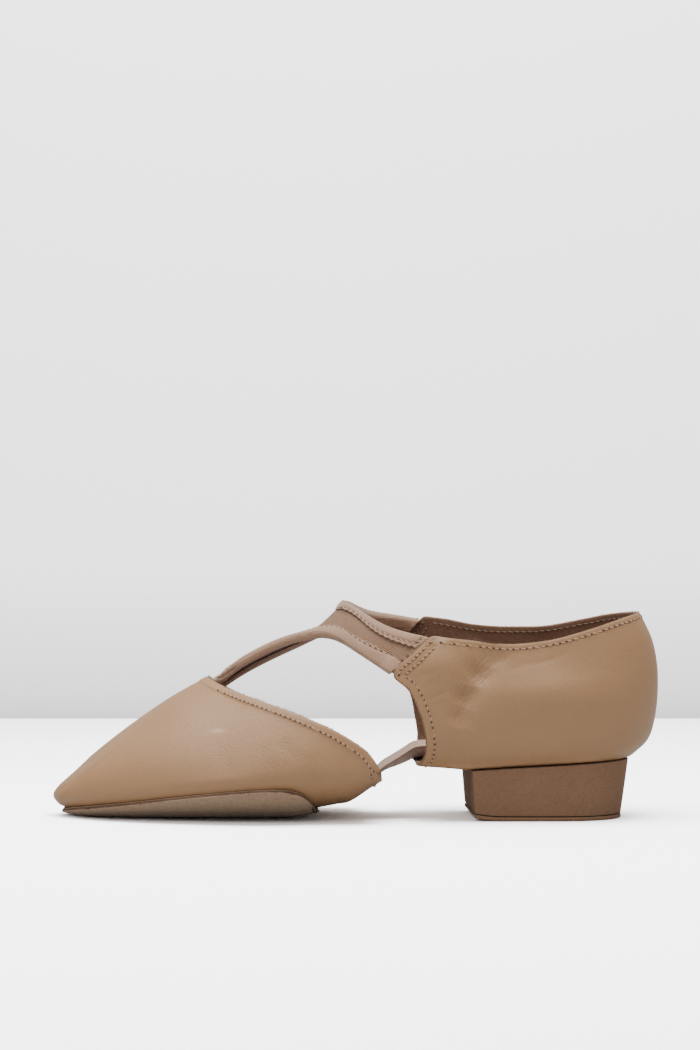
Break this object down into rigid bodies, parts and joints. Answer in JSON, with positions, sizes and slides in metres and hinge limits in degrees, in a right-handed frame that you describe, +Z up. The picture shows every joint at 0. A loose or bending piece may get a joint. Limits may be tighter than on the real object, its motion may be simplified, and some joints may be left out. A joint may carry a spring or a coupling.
{
  "type": "jazz shoe",
  "caption": "Split-sole teaching sandal form of a jazz shoe: pointed leather toe part, heel cup, elastic Y strap, suede sole patch and low heel",
  "frame": {"origin": "on the floor under the middle of the shoe's box", "axes": "toe towards -X, outer side towards -Y, +Z up"},
  "size_m": [0.2408, 0.0814, 0.0859],
  "materials": {
    "leather": "smooth, soft sheen",
    "suede_patch": "rough suede",
    "suede_heel": "suede",
    "insole": "rough flesh side",
    "elastic": "ribbed",
    "binding": "twill tape",
    "arch": "soft elastic"
  },
  "bodies": {
    "root": {"vamp": "leather", "quarter": "leather", "fore_sole": "suede_patch", "fore_insole": "insole", "heel_insole": "insole", "heel": "suede_heel", "heel_tread": "suede_heel", "strap_elastic": "elastic", "binding_top": "binding", "binding_outer": "binding", "binding_inner": "binding", "arch_elastic": "arch"}
  },
  "joints": []
}
